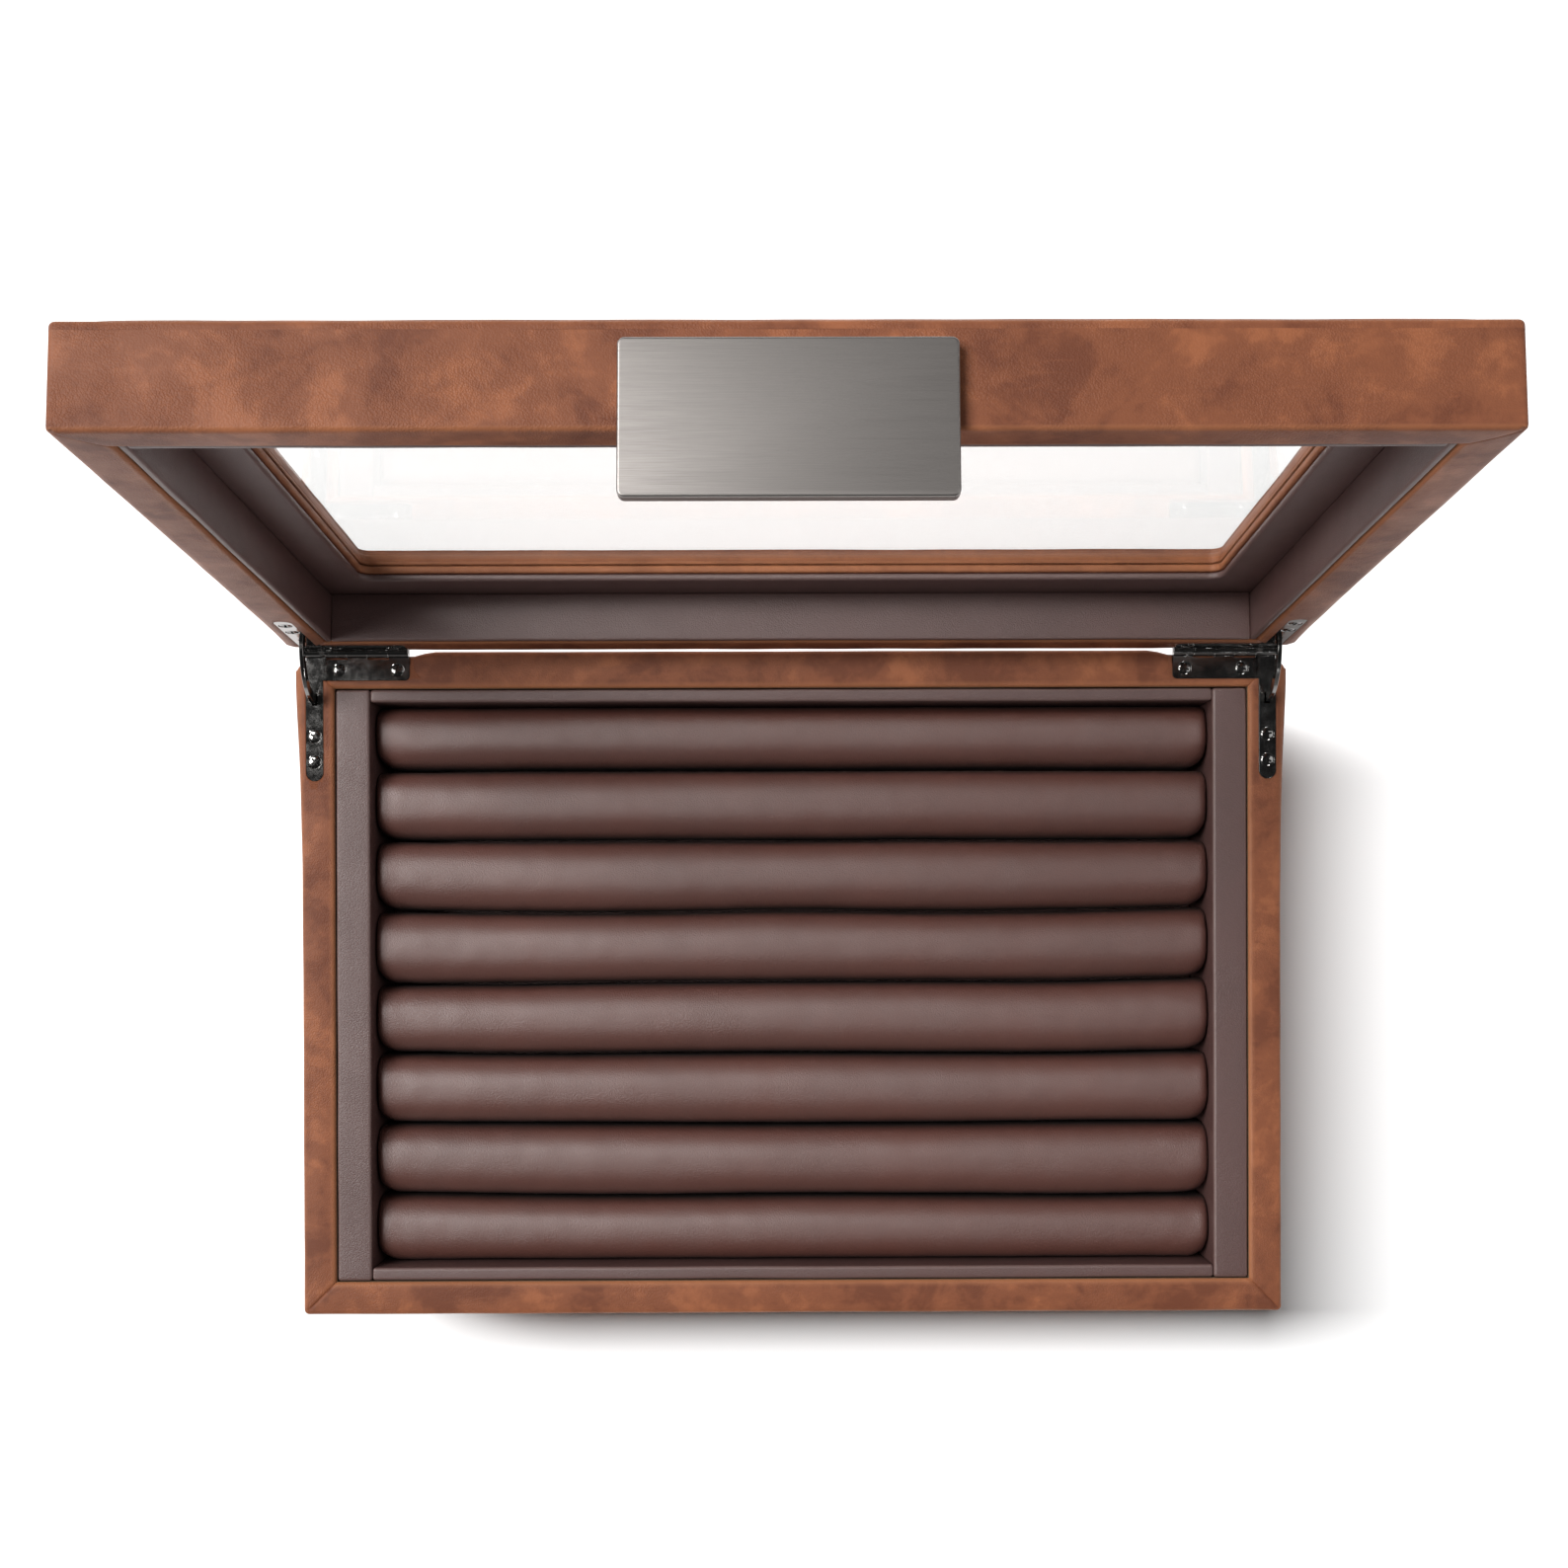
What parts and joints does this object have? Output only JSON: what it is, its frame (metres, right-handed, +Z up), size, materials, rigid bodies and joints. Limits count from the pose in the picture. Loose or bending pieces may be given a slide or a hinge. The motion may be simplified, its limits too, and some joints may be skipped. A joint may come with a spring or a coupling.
{
  "type": "cufflink box",
  "caption": "Leather-covered cufflink box with a hinged glazed lid, a tray of padded rolls and a shallow drawer below the tray.",
  "frame": {"origin": "centre of the face that the box stands on", "axes": "+Z up, -Y towards the drawer and the lifting plate, +Y towards the hinges, +X to the right seen from the front"},
  "size_m": [0.29, 0.2452, 0.2951],
  "materials": {
    "tan_leather": "semi-matte, mottled and burnished at the edges",
    "lining_leather": "matte fine-grained",
    "roll_leather": "soft semi-matte",
    "drawer_lining": "matte fine-grained",
    "suede": "napped",
    "board": "raw fibreboard",
    "glass": "clear",
    "brushed_gunmetal": "brushed lengthwise",
    "black_nickel": "polished dark plating"
  },
  "bodies": {
    "base": {"bottom_suede_sheet": "suede", "bottom_board": "board", "base_side_board_left": "board", "base_side_board_right": "board", "base_back_board": "board", "base_front_fascia": "board", "tray_divider_board": "board", "base_leather_front": "tan_leather", "base_leather_back": "tan_leather", "base_leather_left": "tan_leather", "base_leather_right": "tan_leather", "tray_liner_front": "lining_leather", "tray_liner_back": "lining_leather", "tray_liner_left": "lining_leather", "tray_liner_right": "lining_leather", "tray_floor_pad": "lining_leather", "cufflink_roll_1": "roll_leather", "cufflink_roll_2": "roll_leather", "cufflink_roll_3": "roll_leather", "cufflink_roll_4": "roll_leather", "cufflink_roll_5": "roll_leather", "cufflink_roll_6": "roll_leather", "cufflink_roll_7": "roll_leather", "cufflink_roll_8": "roll_leather", "drawer_bay_lining": "suede", "drawer_stop_rail": "board", "hinge_base_leaf_left": "black_nickel", "hinge_base_leaf_right": "black_nickel", "hinge_screws_base": "black_nickel", "hinge_pins": "black_nickel"},
    "lid": {"lid_board_front": "board", "lid_board_back": "board", "lid_board_left": "board", "lid_board_right": "board", "lid_leather_front": "tan_leather", "lid_leather_back": "tan_leather", "lid_leather_left": "tan_leather", "lid_leather_right": "tan_leather", "lid_frame_panel": "tan_leather", "lid_top_panel": "board", "lid_padded_leather_top": "tan_leather", "lid_glass_pane": "glass", "lid_liner_panel": "lining_leather", "lid_wall_liners": "lining_leather", "lid_lifting_plate": "brushed_gunmetal", "hinge_lid_leaf_left": "black_nickel", "hinge_lid_leaf_right": "black_nickel", "hinge_screws_lid": "black_nickel"},
    "drawer": {"drawer_front_board": "board", "drawer_front_leather": "tan_leather", "drawer_side_left": "drawer_lining", "drawer_side_right": "drawer_lining", "drawer_back": "drawer_lining", "drawer_bottom": "drawer_lining", "drawer_floor_pad": "suede", "drawer_pull": "brushed_gunmetal", "drawer_pull_screws": "black_nickel"},
    "stay_left": {"lid_stay_left": "black_nickel"},
    "stay_right": {"lid_stay_right": "black_nickel"}
  },
  "joints": [
    {"name": "lid_hinge", "type": "hinge", "parent": "base", "child": "lid", "pos_m": [0, 0.0986, 0.0952], "axis": [1, 0, 0], "range_deg": [0, 95]},
    {"name": "stay_left_swing", "type": "hinge", "parent": "base", "child": "stay_left", "pos_m": [0, 0.0986, 0.0952], "axis": [1, 0, 0], "range_deg": [0, 47.5]},
    {"name": "stay_right_swing", "type": "hinge", "parent": "base", "child": "stay_right", "pos_m": [0, 0.0986, 0.0952], "axis": [1, 0, 0], "range_deg": [0, 47.5]},
    {"name": "drawer_slide", "type": "slide", "parent": "base", "child": "drawer", "axis": [0, -1, 0], "range_m": [0, 0.12]}
  ],
  "couplings": [
    {"joint": "stay_left_swing", "follows": "lid_hinge", "ratio": 0.5},
    {"joint": "stay_right_swing", "follows": "lid_hinge", "ratio": 0.5}
  ]
}
